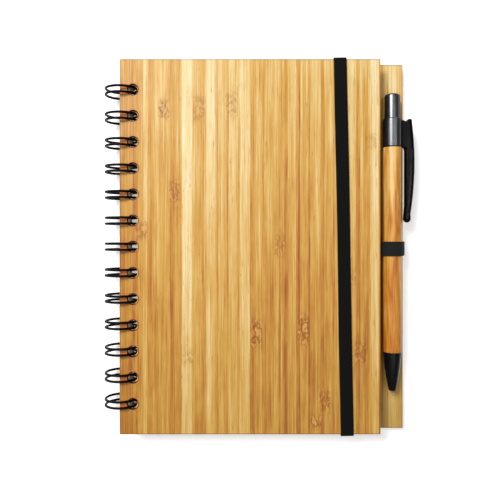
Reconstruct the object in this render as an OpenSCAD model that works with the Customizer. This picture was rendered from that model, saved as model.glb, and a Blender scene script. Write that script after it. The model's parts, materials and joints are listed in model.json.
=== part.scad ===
// Pocket notebook: two bamboo boards and ruled leaves on a twin-loop wire, an elastic band
// round the front board, and a bamboo ball pen held by an elastic loop on the wider back board.
// +X points to the pen, +Y to the head of the page and +Z up out of the front board.
// The origin is the centre of the base, level with the lowest point of the wire.

/* [Boards] */
// Width of the front board
cover_w = 126.5; // [115:0.5:135]
// Height of both boards
cover_h = 182; // [176:1:190]
// Thickness of each board
cover_t = 1.6; // [1.2:0.1:2.0]
// How far the back board reaches past the front board, to carry the pen
margin_w = 13.2; // [12.5:0.1:16]
// Gap between the boards, which the leaves fill
book_gap = 7.4; // [7.0:0.1:8.0]

/* [Binding] */
// Rings along the spine
ring_count = 13; // [9:2:13]
// Spacing of the rings, half an inch in a 2:1 binding
ring_pitch = 12.7; // [12.7:0.1:12.7]
// Radius of a ring, at the middle of its wire
ring_r = 7.7; // [7.5:0.1:8.0]
// Diameter of the wire
wire_d = 1.2; // [0.9:0.1:1.3]
// Spacing of the two wires of one ring
twin_gap = 2.9; // [2.6:0.1:3.0]
// Diameter of the holes in the boards
cover_hole_d = 5.2; // [5.0:0.1:5.6]
// Diameter of the holes in the leaves
page_hole_d = 4.5; // [4.4:0.1:4.8]

/* [Leaves] */
// Height of a leaf
page_h = 179; // [170:1:181]
// How far the leaves stop short of the front board's free edge
page_inset = 2.5; // [1.5:0.5:5]
// Thickness of one leaf
leaf_t = 0.1; // [0.08:0.01:0.2]

/* [Band] */
// Width of the elastic band
band_w = 6.3; // [5:0.1:8]
// Thickness of the elastic band
band_t = 0.75; // [0.5:0.05:1.0]
// Distance from the band's middle to the front board's free edge
band_inset = 17.9; // [14:0.1:24]
// Lean of the band from the spine's direction, in degrees
band_lean = 1.04; // [0:0.01:1.5]

/* [Pen] */
// Diameter of the barrel
pen_d = 9.2; // [8.8:0.1:9.4]
// Distance of the pen's axis beyond the front board's free edge
pen_offset = 6.7; // [6.6:0.1:7.0]
// Length of the bamboo barrel
barrel_len = 100.2; // [95:0.1:104]
// Length of the metal ferrule, with the black ring below it
ferrule_len = 14.1; // [13.5:0.1:15]
// How far the push button stands out of the ferrule
button_out = 12.4; // [11:0.1:14]
// Diameter of the push button
button_d = 7.4; // [7:0.1:7.4]
// Travel of the push button
button_travel = 5; // [4:0.5:5]
// Length of the tip cone in front of the barrel
cone_len = 19.1; // [18:0.1:20]
// Height of the barrel's lower end above the middle of the boards, below it when negative
barrel_y = -51.6; // [-54:0.1:-48]

/* [Loop and clip] */
// Width of the elastic pen loop
loop_w = 7; // [6:0.5:9]
// Thickness of the pen loop
loop_t = 0.9; // [0.7:0.1:1.0]
// Height of the loop's middle above the middle of the boards, below it when negative
loop_y = -1; // [-10:1:4]
// Reach of the clip's back from the pen's axis
clip_reach = 10.8; // [10:0.1:12]
// Width of the clip
clip_w = 4.2; // [3.6:0.1:4.6]
// Length of the clip, from its top to its tip
clip_len = 50.7; // [48:0.1:54]

/* [Hidden] */
$fn = 64;

// clearances
fit = 0.04;        // parts of one body that slide together once
running = 0.1;     // a piece that slides or turns in a bore
free = 0.3;        // neighbours that move apart

// wire, in the plane of a ring: angle 0 points to the boards, 90 up
root_angle = -75;
tip_angle = 259;
bend_r = 1.0;
ring_outer = ring_r + wire_d / 2;
tip_drop = -ring_r * sin(tip_angle) - twin_gap / 2 * cos(tip_angle);
ring_z = tip_drop + wire_d / 2;
spine_gap = 0.15;  // the boards' bound edges stand this far outside the rings' centres
span_x = ring_outer + spine_gap + cover_w + pen_offset + clip_reach;
ring_x = -span_x / 2 + ring_outer;

// boards
bound_x = ring_x + spine_gap;
cover_x = bound_x + cover_w;
back_x = cover_x + margin_w;
hole_x = ring_x + 6.55;
page_hole_x = ring_x + 7.2;
back_top = ring_z - book_gap / 2;
back_z = back_top - cover_t;
front_z = ring_z + book_gap / 2;
front_top = front_z + cover_t;

// leaves
page_x0 = ring_x + 2.9;
page_x1 = cover_x - page_inset;
leaf_gap = 0.15;

// band and its rivets
band_gap = 0.1;
band_x = cover_x - band_inset;
band_bottom = back_z - band_gap - band_t;
band_top = front_top + band_gap + band_t;
band_y = cover_h / 2 + 0.15 + band_t;
tail_len = 22;
rivet_y = cover_h / 2 - 15;
rivet_r = 1.2;

// pen
pen_r = pen_d / 2;
pen_x = cover_x + pen_offset;
pen_z = back_top + 0.5 + pen_r;
barrel_top = barrel_y + barrel_len;
ring_t = 0.5;
ferrule_y = barrel_top + ring_t;
ferrule_top = barrel_top + ferrule_len;
button_top = ferrule_top + button_out;
cone_tip = barrel_y - cone_len;
barrel_bore = 3.4;
ferrule_bore = 4.0;
button_skirt = ferrule_top - 3.7;
cap_wall = 0.7;
sleeve_top = button_skirt - button_travel - 0.8;
sleeve_y = 33;
rotor_y = 39;
rotor_len = 5.2;
refill_r = 1.5;
refill_y = barrel_y + 1.6;
refill_end = cone_tip + 2.2;
nose_r = 1.12;
spring_y0 = cone_tip + 8.7;
collar_y = spring_y0 + 21.8;

// clip
clip_top = ferrule_top - 0.25;
clip_pivot_y = ferrule_top - 1.2;
clip_inner = 6.3;

// ---------------------------------------------------------------- boards and leaves

module row_of_holes(x, d, z, h) {
    for (i = [0 : ring_count - 1])
        translate([x, (i - (ring_count - 1) / 2) * ring_pitch, z - 1])
            cylinder(d = d, h = h + 2);
}

module block(x0, x1, h, z, t) {
    translate([x0, -h / 2, z])
        cube([x1 - x0, h, t]);
}

module leaves(z, t) {
    difference() {
        block(page_x0, page_x1, page_h, z, t);
        row_of_holes(page_hole_x, page_hole_d, z, t);
    }
}

module front_cover() {
    color("burlywood")
        difference() {
            block(bound_x, cover_x, cover_h, front_z, cover_t);
            row_of_holes(hole_x, cover_hole_d, front_z, cover_t);
        }
}

module back_cover() {
    color("tan")
        difference() {
            block(bound_x, back_x, cover_h, back_z, cover_t);
            row_of_holes(hole_x, cover_hole_d, back_z, cover_t);
            at_band_rivets()
                translate([0, 0, back_z - 1])
                    cylinder(r = rivet_r + fit, h = cover_t + 2);
            at_loop_rivet()
                translate([0, 0, back_z - 1])
                    cylinder(r = rivet_r + fit, h = cover_t + 2);
            loop_slot();
        }
}

module front_pages() {
    color("ivory")
        leaves(ring_z + leaf_t / 2 + leaf_gap, book_gap / 2 - free - leaf_t / 2 - leaf_gap);
}

module loose_leaf() {
    color("ivory")
        leaves(ring_z - leaf_t / 2, leaf_t);
}

module rear_pages() {
    color("ivory")
        leaves(back_top + free, book_gap / 2 - free - leaf_t / 2 - leaf_gap);
}

// ---------------------------------------------------------------- wire

function on_ring(a) = [ring_r * cos(a), 0, ring_r * sin(a)];

module wire_bend(r, sweep) {
    rotate_extrude(angle = sweep)
        translate([r, 0])
            circle(d = wire_d);
}

module wire_arc() {
    rotate([90, 0, 0])
        rotate([0, 0, root_angle])
            wire_bend(ring_r, tip_angle - root_angle);
}

// half circle that joins the two wires of a ring at its closed tip
module wire_tip() {
    translate(on_ring(tip_angle))
        rotate([0, -tip_angle - 90, 0])
            rotate([0, 0, -90])
                wire_bend(twin_gap / 2, 180);
}

// quarter turn from a ring's wire towards the next ring, or with turn = 180 towards the one before
module wire_foot(turn = 0) {
    translate(on_ring(root_angle))
        rotate([0, 90 - root_angle, 0]) rotate([turn, 0, 0])
            translate([0, bend_r, 0])
                rotate([0, 0, -90])
                    wire_bend(bend_r, 90);
}

// straight wire between two rings
module wire_bar() {
    translate(on_ring(root_angle))
        rotate([0, -root_angle, 0])
            translate([0, bend_r, -bend_r])
                rotate([-90, 0, 0])
                    cylinder(d = wire_d, h = ring_pitch - twin_gap - 2 * bend_r);
}

module wire_binding() {
    color("silver")
        translate([ring_x, 0, ring_z])
            union()
                for (i = [0 : ring_count - 1])
                    translate([0, (i - (ring_count - 1) / 2) * ring_pitch, 0]) {
                        for (side = [-1, 1])
                            translate([0, side * twin_gap / 2, 0])
                                wire_arc();
                        wire_tip();
                        if (i < ring_count - 1)
                            translate([0, twin_gap / 2, 0]) {
                                wire_foot();
                                wire_bar();
                                translate([0, ring_pitch - twin_gap, 0])
                                    wire_foot(180);
                            }
                    }
}

// ---------------------------------------------------------------- band

module on_band_line() {
    translate([band_x, 0, 0])
        rotate([0, 0, band_lean])
            children();
}

module at_band_rivets() {
    on_band_line()
        for (side = [-1, 1])
            translate([0, side * rivet_y, 0])
                children();
}

// strap that runs over the front board, round both ends and back under the back board
module elastic_band() {
    inner_y = band_y - band_t;
    inner_top = band_top - band_t;
    inner_bottom = band_bottom + band_t;
    tail_y = inner_y - tail_len;
    outline = concat(
        [[-tail_y, band_bottom]],
        [[-band_y + 0.5, band_bottom], [-band_y, band_bottom + 0.5]],
        [[-band_y, band_top - 0.5], [-band_y + 0.5, band_top]],
        [[band_y - 0.5, band_top], [band_y, band_top - 0.5]],
        [[band_y, band_bottom + 0.5], [band_y - 0.5, band_bottom]],
        [[tail_y, band_bottom], [tail_y, inner_bottom]],
        [[inner_y, inner_bottom], [inner_y, inner_top]],
        [[-inner_y, inner_top], [-inner_y, inner_bottom]],
        [[-tail_y, inner_bottom]]
    );
    color("#222224")
        difference() {
            on_band_line()
                translate([-band_w / 2, 0, 0])
                    rotate([90, 0, 90])
                        linear_extrude(height = band_w)
                            polygon(outline);
            at_band_rivets()
                translate([0, 0, band_bottom - 1])
                    cylinder(r = rivet_r + free, h = band_t + 2);
        }
}

// hollow rivet through a strap and the back board, flat flange on the inside
module rivet(strap_z, head_r) {
    difference() {
        union() {
            translate([0, 0, strap_z - fit - 0.5])
                cylinder(r = head_r, h = 0.5);
            translate([0, 0, strap_z - fit - 0.25])
                cylinder(r = rivet_r, h = back_top - strap_z + 2 * fit + 0.35);
            translate([0, 0, back_top + fit])
                cylinder(r = head_r - 0.5, h = 0.18);
        }
        translate([0, 0, strap_z - 2])
            cylinder(r = 0.7, h = back_top - strap_z + 3);
    }
}

module band_rivets() {
    color("gainsboro")
        at_band_rivets()
            rivet(band_bottom, 2.6);
}

// ---------------------------------------------------------------- pen loop

loop_in = pen_r + 0.15;
loop_out = loop_in + loop_t;
loop_bottom = back_z - 0.1 - loop_t;
loop_edge = back_x + 0.1 - pen_x;

// closed outline round the pen and the back board's margin, grown outwards by t
function loop_outline(t) = concat(
    [for (a = [180 : -7.5 : 15]) [(loop_in + t) * cos(a), pen_z + (loop_in + t) * sin(a)]],
    [[loop_edge + t, back_top], [loop_edge + t, back_z - 0.1 - t]],
    [[-loop_in - t, back_z - 0.1 - t]]
);

module loop_profile(t) {
    polygon(loop_outline(t));
}

module pen_loop() {
    color("#1c1c1e")
        difference() {
            translate([pen_x, loop_y + loop_w / 2, 0])
                rotate([90, 0, 0])
                    linear_extrude(height = loop_w)
                        difference() {
                            loop_profile(loop_t);
                            loop_profile(0);
                        }
            at_loop_rivet()
                translate([0, 0, loop_bottom - 1])
                    cylinder(r = rivet_r + fit, h = loop_t + 2);
        }
}

// slot through the back board for the strap's inner side
module loop_slot() {
    translate([pen_x - loop_out - 0.15, loop_y - loop_w / 2 - 0.15, back_z - 1])
        cube([loop_t + 0.3, loop_w + 0.3, cover_t + 2]);
}

module at_loop_rivet() {
    translate([pen_x + 0.6, loop_y, 0])
        children();
}

module loop_rivet() {
    color("gainsboro")
        at_loop_rivet()
            rivet(loop_bottom, 2.4);
}

// ---------------------------------------------------------------- pen body

// local +Z runs along the pen, towards its button
module along_pen() {
    translate([pen_x, 0, pen_z])
        rotate([-90, 0, 0])
            children();
}

module tube(y0, y1, r_out, r_in) {
    translate([0, 0, y0])
        difference() {
            cylinder(r = r_out, h = y1 - y0);
            translate([0, 0, -1])
                cylinder(r = r_in, h = y1 - y0 + 2);
        }
}

module pen_barrel() {
    bevel = 0.2;
    color("peru")
        along_pen()
            rotate_extrude()
                polygon([
                    [barrel_bore, barrel_y], [pen_r - bevel, barrel_y],
                    [pen_r, barrel_y + bevel], [pen_r, barrel_top - bevel],
                    [pen_r - bevel, barrel_top], [barrel_bore, barrel_top]
                ]);
}

module joint_ring() {
    color("#151515")
        along_pen()
            tube(barrel_top + 0.02, ferrule_y - 0.02, pen_r - 0.15, barrel_bore + 0.02);
}

module pen_ferrule() {
    lip = 1.0;
    color("silver")
        difference() {
            along_pen()
                rotate_extrude()
                    polygon([
                        [ferrule_bore, ferrule_y], [pen_r - 0.1, ferrule_y],
                        [pen_r, ferrule_y + 0.1], [pen_r, ferrule_top - 0.4],
                        [pen_r - 0.4, ferrule_top], [button_d / 2 + running, ferrule_top],
                        [button_d / 2 + running, ferrule_top - lip],
                        [ferrule_bore, ferrule_top - lip]
                    ]);
            // slot that the clip's tab passes through
            translate([pen_x + 3, ferrule_top - 8, pen_z - 1.5])
                cube([3, 8 - lip - 0.1, 3]);
        }
}

module tip_cone() {
    steps = 10;
    edge_r = 0.45;
    // the outline narrows slowly at first, then faster towards the tip
    profile = [for (i = [0 : steps])
        let (s = i / steps * (cone_len - edge_r))
            [pen_r - 0.2 - 0.05 * s - 0.00475 * s * s, barrel_y - 0.02 - s]];
    mouth_r = nose_r + running;
    spigot_r = 3.0;
    color("#111112")
        along_pen()
            rotate_extrude()
                polygon(concat(
                    [[spigot_r, barrel_y + 8.6], [spigot_r, barrel_y - 0.02]],
                    profile,
                    [[profile[steps][0] - edge_r, cone_tip], [mouth_r, cone_tip]],
                    [[mouth_r, spring_y0 - 0.05], [2.3, spring_y0 - 0.05]],
                    [[2.3, barrel_y + 8.6]]
                ));
}

module front_insert() {
    color("gray")
        along_pen()
            tube(barrel_y + 0.1, barrel_y + 9.6, barrel_bore - fit, 3.0 + fit);
}

module rear_insert() {
    color("gray")
        along_pen()
            union() {
                tube(barrel_top - 12, ferrule_y + 0.05, barrel_bore - fit, 2.9);
                tube(ferrule_y + 0.05, sleeve_top, ferrule_bore - fit, 2.9);
            }
}

module pen_clip() {
    arc_r = 160;
    arc_y = 41.5;
    low_y = clip_top - clip_len;
    back = [for (i = [0 : 12])
        let (y = clip_top - 1.4 + i / 12 * (low_y + 4.2 - clip_top + 1.4))
            [clip_reach - arc_r + sqrt(arc_r * arc_r - (y - arc_y) * (y - arc_y)), y]];
    tip = [for (a = [0 : -20 : -180]) [7.3 + 1.6 * cos(a), low_y + 1.9 + 1.9 * sin(a)]];
    outline = concat(
        [[3.0, clip_top - 0.2], [4.9, clip_top - 0.3], [6.2, clip_top - 0.9]],
        [[7.2, clip_top - 1.0], [7.6, clip_top - 0.1], [9.0, clip_top], [9.45, clip_top - 0.5]],
        back, tip,
        [[clip_inner, low_y + 8], [clip_inner, ferrule_y - 2.2], [5.6, ferrule_y - 0.9]],
        [[4.9, ferrule_y - 0.4], [3.0, ferrule_y - 0.3]]
    );
    color("#131314")
        union() {
            difference() {
                translate([pen_x, 0, pen_z - clip_w / 2])
                    linear_extrude(height = clip_w)
                        polygon(outline);
                translate([pen_x, barrel_y, pen_z])
                    rotate([-90, 0, 0])
                        cylinder(r = pen_r + free, h = 2 * barrel_len);
            }
            // tab that hooks through the ferrule's slot
            translate([pen_x + ferrule_bore + 0.05, ferrule_top - 7.7, pen_z - 1.2])
                cube([1.4, 6.3, 2.4]);
        }
}

// ---------------------------------------------------------------- click mechanism

module push_button() {
    r = button_d / 2;
    crown = 0.5;
    round = 0.9;
    // rounded shoulder below a slightly domed top
    shoulder = [for (a = [0 : 15 : 75])
        [r - round + round * cos(a), button_top - crown - round + round * sin(a)]];
    color("silver")
        along_pen()
            rotate_extrude()
                polygon(concat(
                    [[r - cap_wall, button_skirt], [r, button_skirt]],
                    shoulder,
                    [[1.6, button_top - 0.15], [0, button_top]],
                    [[0, button_top - 1.8], [r - cap_wall, button_top - 1.8]]
                ));
}

module four_ribs(r0, r1, w, y0, y1) {
    for (a = [45 : 90 : 315])
        rotate([0, 0, a])
            translate([r0, -w / 2, y0])
                cube([r1 - r0, w, y1 - y0]);
}

module plunger() {
    tip_y = rotor_y + rotor_len + free;
    color("white")
        along_pen()
            union() {
                translate([0, 0, button_skirt + 8])
                    cylinder(r = button_d / 2 - cap_wall - fit,
                             h = button_top - 1.8 - fit - button_skirt - 8);
                translate([0, 0, tip_y + 0.8])
                    cylinder(r = 2.1, h = button_skirt + 8.5 - tip_y - 0.8);
                four_ribs(1.2, 2.45, 0.5, tip_y + 0.8, tip_y + 4);
                four_ribs(1.2, 1.95, 0.8, tip_y, tip_y + 1.2);
            }
}

module cam_sleeve() {
    color("whitesmoke")
        along_pen()
            difference() {
                tube(sleeve_y, sleeve_top, 2.9 - fit, 2.3);
                // grooves that guide the plunger's ribs
                four_ribs(2.0, 2.6, 0.8, rotor_y - 1, sleeve_top + 1);
            }
}

module cam_rotor() {
    color("white")
        along_pen()
            difference() {
                translate([0, 0, rotor_y])
                    cylinder(r = 2.3 - running, h = rotor_len);
                translate([0, 0, rotor_y - 1])
                    cylinder(r = 0.8, h = 3);
                // notches that the plunger's teeth turn
                for (a = [0, 90])
                    rotate([0, 0, a])
                        translate([-3, -0.5, rotor_y + rotor_len - 0.8])
                            cube([6, 1, 2]);
            }
}

// ---------------------------------------------------------------- refill

module refill_tube() {
    color("white")
        along_pen()
            union() {
                tube(refill_y, rotor_y - 0.2, refill_r, 1.05);
                tube(collar_y, collar_y + 1, 2.1, refill_r - 0.2);
            }
}

module refill_tip() {
    ball_y = refill_end + 0.35;
    color("gold")
        along_pen()
            difference() {
                rotate_extrude()
                    polygon([
                        [0, refill_end + 0.3], [0.45, refill_end + 0.3],
                        [nose_r, refill_end + 2.6], [nose_r, spring_y0 + button_travel + 0.6],
                        [refill_r, spring_y0 + button_travel + 2], [refill_r, refill_y - 0.02],
                        [1.05 - fit, refill_y - 0.02], [1.05 - fit, refill_y + 5],
                        [0, refill_y + 5]
                    ]);
                translate([0, 0, ball_y])
                    sphere(r = 0.38);
                translate([0, 0, ball_y])
                    cylinder(r = 0.2, h = 25);
            }
}

module writing_ball() {
    color("silver")
        along_pen()
            translate([0, 0, refill_end + 0.35])
                sphere(r = 0.35);
}

// round wire of diameter d along a helix, as a closed six-sided tube
module coil(r, d, rise, turns) {
    sides = 6;
    steps = 16 * turns;
    points = [
        for (i = [0 : steps], j = [0 : sides - 1])
            let (a = 360 / 16 * i, b = 360 / sides * j, q = r + d / 2 * cos(b))
                [q * cos(a), q * sin(a), rise * i / 16 + d / 2 * sin(b)]
    ];
    walls = [
        for (i = [0 : steps - 1], j = [0 : sides - 1])
            let (k = (j + 1) % sides, m = i * sides, n = m + sides)
                each [[m + j, m + k, n + k], [m + j, n + k, n + j]]
    ];
    ends = [[for (j = [sides - 1 : -1 : 0]) j], [for (j = [0 : sides - 1]) steps * sides + j]];
    polyhedron(points, concat(walls, ends));
}

module pen_spring() {
    wire = 0.36;
    turns = 9;
    color("silver")
        along_pen()
            translate([0, 0, spring_y0 + wire / 2])
                coil(1.87, wire, (collar_y - spring_y0 - wire - 0.1) / turns, turns);
}

front_cover();
back_cover();
wire_binding();
front_pages();
loose_leaf();
rear_pages();
elastic_band();
band_rivets();
pen_loop();
loop_rivet();
pen_barrel();
pen_ferrule();
joint_ring();
pen_clip();
tip_cone();
front_insert();
rear_insert();
cam_sleeve();
push_button();
plunger();
cam_rotor();
refill_tube();
refill_tip();
writing_ball();
pen_spring();
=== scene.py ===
"""Pocket notebook with bamboo boards, twin-loop wire, elastic band and bamboo click pen."""

import json
import math
import random

import bmesh
import bpy
from mathutils import Matrix, Vector


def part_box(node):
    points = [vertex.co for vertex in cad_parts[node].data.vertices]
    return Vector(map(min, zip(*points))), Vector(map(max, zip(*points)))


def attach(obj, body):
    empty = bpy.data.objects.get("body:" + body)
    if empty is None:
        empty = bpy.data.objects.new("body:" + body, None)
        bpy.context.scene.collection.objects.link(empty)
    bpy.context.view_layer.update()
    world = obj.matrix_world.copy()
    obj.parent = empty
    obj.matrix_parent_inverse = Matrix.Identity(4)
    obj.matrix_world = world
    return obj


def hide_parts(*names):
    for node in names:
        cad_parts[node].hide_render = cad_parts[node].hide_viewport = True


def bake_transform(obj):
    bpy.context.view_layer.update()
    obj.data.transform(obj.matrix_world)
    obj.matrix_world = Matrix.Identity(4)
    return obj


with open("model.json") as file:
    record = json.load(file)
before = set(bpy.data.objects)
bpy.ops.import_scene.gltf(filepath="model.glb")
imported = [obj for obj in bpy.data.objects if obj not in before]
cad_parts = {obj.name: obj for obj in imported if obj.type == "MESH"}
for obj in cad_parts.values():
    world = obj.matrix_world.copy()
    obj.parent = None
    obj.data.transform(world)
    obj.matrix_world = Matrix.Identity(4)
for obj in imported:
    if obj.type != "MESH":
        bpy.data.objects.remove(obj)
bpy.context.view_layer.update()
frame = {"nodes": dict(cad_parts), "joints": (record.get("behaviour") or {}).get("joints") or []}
MM = 0.001

# ---------------------------------------------------------------- sizes taken from the frame

joints = {j["name"]: j for j in frame["joints"]}
ring_x, _, ring_z = joints["cover_swing"]["pos_m"]
front_lo, front_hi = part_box("front_cover")
back_lo, back_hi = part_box("back_cover")
barrel_lo, barrel_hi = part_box("pen_barrel")
pen_x = (barrel_lo.x + barrel_hi.x) / 2
pen_z = (barrel_lo.z + barrel_hi.z) / 2
pen_r = (barrel_hi.x - barrel_lo.x) / 2

# the binding, as part.scad has it
RING_COUNT = 13
RING_PITCH = 12.7 * MM
RING_R = 7.7 * MM
WIRE_R = 0.6 * MM
TWIN_HALF = 1.45 * MM
ROOT_ANGLE = math.radians(-75)
TIP_ANGLE = math.radians(259)
FOOT_R = 1.0 * MM
COVER_HOLE = (ring_x + 6.55 * MM, 2.6 * MM)
PAGE_HOLE = (ring_x + 7.2 * MM, 2.25 * MM)
RING_YS = [(i - (RING_COUNT - 1) / 2) * RING_PITCH for i in range(RING_COUNT)]


# ---------------------------------------------------------------- mesh helpers

def link(name, mesh, material=None):
    obj = bpy.data.objects.new(name, mesh)
    bpy.context.scene.collection.objects.link(obj)
    if material:
        mesh.materials.clear()
        mesh.materials.append(material)
    return obj


def shade(mesh, degrees=40, plate=False):
    """Smooth shading up to that angle. A plate's flat faces keep their own normals."""
    for face in mesh.polygons:
        face.use_smooth = True
    mesh.set_sharp_from_angle(angle=math.radians(degrees))
    for face in mesh.polygons:
        if plate and abs(face.normal.z) > 0.9999:
            face.use_smooth = False


def make_mesh(name, points, faces, material=None, degrees=40):
    mesh = bpy.data.meshes.new(name)
    mesh.from_pydata([tuple(p) for p in points], [], faces)
    mesh.update()
    bm = bmesh.new()
    bm.from_mesh(mesh)
    bmesh.ops.recalc_face_normals(bm, faces=bm.faces)
    bm.to_mesh(mesh)
    bm.free()
    shade(mesh, degrees)
    return link(name, mesh, material)


def circle_points(cx, cy, r, count):
    return [
        (cx + r * math.cos(2 * math.pi * k / count), cy + r * math.sin(2 * math.pi * k / count))
        for k in range(count)
    ]


def stitch(count, sides, closed=False):
    """Faces between count rings of points, either closed into a loop or capped at both ends."""
    faces = []
    for i in range(count if closed else count - 1):
        a, b = i * sides, (i + 1) % count * sides
        for k in range(sides):
            n = (k + 1) % sides
            faces.append((a + k, a + n, b + n, b + k))
    if not closed:
        faces.append(tuple(range(sides - 1, -1, -1)))
        faces.append(tuple((count - 1) * sides + k for k in range(sides)))
    return faces


def plate_mesh(name, loops, thickness, edge=0.0):
    """A flat plate about z = 0. The first loop is its outline, the others are holes, and edge rounds rims."""
    curve = bpy.data.curves.new(name, "CURVE")
    curve.dimensions = "2D"
    curve.fill_mode = "BOTH"
    curve.extrude = thickness / 2 - edge
    curve.bevel_depth = edge
    curve.bevel_resolution = 3
    curve.offset = -edge
    for loop in loops:
        spline = curve.splines.new("POLY")
        spline.points.add(len(loop) - 1)
        for point, (x, y) in zip(spline.points, loop):
            point.co = (x, y, 0, 1)
        spline.use_cyclic_u = True
    holder = bpy.data.objects.new(name, curve)
    bpy.context.scene.collection.objects.link(holder)
    bpy.context.view_layer.update()
    mesh = bpy.data.meshes.new_from_object(holder.evaluated_get(bpy.context.evaluated_depsgraph_get()))
    bpy.data.objects.remove(holder)
    bpy.data.curves.remove(curve)
    mesh.name = name
    bm = bmesh.new()
    bm.from_mesh(mesh)
    bmesh.ops.remove_doubles(bm, verts=bm.verts, dist=1e-6)
    bmesh.ops.recalc_face_normals(bm, faces=bm.faces)
    bm.to_mesh(mesh)
    bm.free()
    return mesh


def lathe(name, profile, material, segments=96):
    """Turns (radius, y) points about the pen's axis. With both ends off the axis, the profile is closed."""
    rings, points = [], []
    for r, y in profile:
        if r < 1e-7:
            rings.append([len(points)])
            points.append((pen_x, y, pen_z))
            continue
        rings.append(list(range(len(points), len(points) + segments)))
        for k in range(segments):
            a = 2 * math.pi * k / segments
            points.append((pen_x + r * math.sin(a), y, pen_z + r * math.cos(a)))
    pairs = list(zip(rings, rings[1:]))
    if len(rings[0]) > 1 and len(rings[-1]) > 1:
        pairs.append((rings[-1], rings[0]))
    faces = []
    for a, b in pairs:
        for k in range(segments):
            n = (k + 1) % segments
            if len(a) == 1:
                faces.append((a[0], b[n], b[k]))
            elif len(b) == 1:
                faces.append((a[k], a[n], b[0]))
            else:
                faces.append((a[k], a[n], b[n], b[k]))
    return make_mesh(name, points, faces, material, 35)


def sweep(name, path, section, across, material, closed=False):
    """Carries a section (across, out) along a path in a plane whose normal is across."""
    count = len(path)
    points = []
    for i, p in enumerate(path):
        before = path[(i - 1) % count] if closed or i > 0 else p
        after = path[(i + 1) % count] if closed or i < count - 1 else p
        along = (after - before).normalized()
        out = along.cross(across).normalized()
        points += [p + across * u + out * v for u, v in section]
    return make_mesh(name, points, stitch(count, len(section), closed), material)


def tube_along(name, path, radius, sides, material):
    """A round tube along any path, with a frame that never twists."""
    points = []
    normal = None
    for i, p in enumerate(path):
        before, after = path[max(i - 1, 0)], path[min(i + 1, len(path) - 1)]
        along = (after - before).normalized()
        if normal is None:
            normal = along.orthogonal().normalized()
        normal = (normal - along * normal.dot(along)).normalized()
        side = along.cross(normal)
        for k in range(sides):
            a = 2 * math.pi * k / sides
            points.append(p + (normal * math.cos(a) + side * math.sin(a)) * radius)
    return make_mesh(name, points, stitch(len(path), sides), material, 60)


def rounded(corners, radius, closed=False):
    """The polyline through the corners, each corner turned into an arc of about that radius."""
    steps = 6
    out = []
    count = len(corners)
    for i, c in enumerate(corners):
        if not closed and i in (0, count - 1):
            out.append(c)
            continue
        a, b = corners[i - 1], corners[(i + 1) % count]
        u, v = (a - c).normalized(), (b - c).normalized()
        half = u.angle(v) / 2
        if half > math.radians(84):
            out.append(c)
            continue
        reach = min(radius / math.tan(half), (a - c).length * 0.49, (b - c).length * 0.49)
        start, end = c + u * reach, c + v * reach
        for k in range(steps + 1):
            t = k / steps
            out.append(start * (1 - t) ** 2 + c * 2 * t * (1 - t) + end * t**2)
    return out


def dense(path, step, closed=False):
    """The same polyline with points no further apart than step."""
    out = []
    ends = path[1:] + ([path[0]] if closed else [])
    for a, b in zip(path, ends):
        count = max(1, math.ceil((b - a).length / step))
        out += [a.lerp(b, k / count) for k in range(count)]
    if not closed:
        out.append(path[-1])
    return out


def strap_section(width, thickness, ribs):
    """A flat woven strap's cross-section: round selvedges and fine ribs along both faces."""
    columns = ribs * 4
    edge = thickness / 2
    rib = 0.018 * MM

    def face(sign):
        row = []
        for k in range(columns + 1):
            u = -width / 2 + edge + (width - 2 * edge) * k / columns
            row.append((u, sign * (edge + rib * math.cos(2 * math.pi * k / 4) - rib)))
        return row

    def selvedge(sign):
        return [
            (sign * (width / 2 - edge + edge * math.cos(a)), sign * edge * math.sin(a))
            for a in [math.radians(60 - 24 * k) for k in range(6)]
        ]

    return face(-1) + selvedge(1)[::-1] + face(1)[::-1] + selvedge(-1)[::-1]


# ---------------------------------------------------------------- material helpers

def srgb(r, g, b):
    """A colour given as 0 to 255 sRGB values, as linear light."""
    def one(c):
        c /= 255
        return c / 12.92 if c <= 0.04045 else ((c + 0.055) / 1.055) ** 2.4
    return (one(r), one(g), one(b), 1.0)


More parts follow.
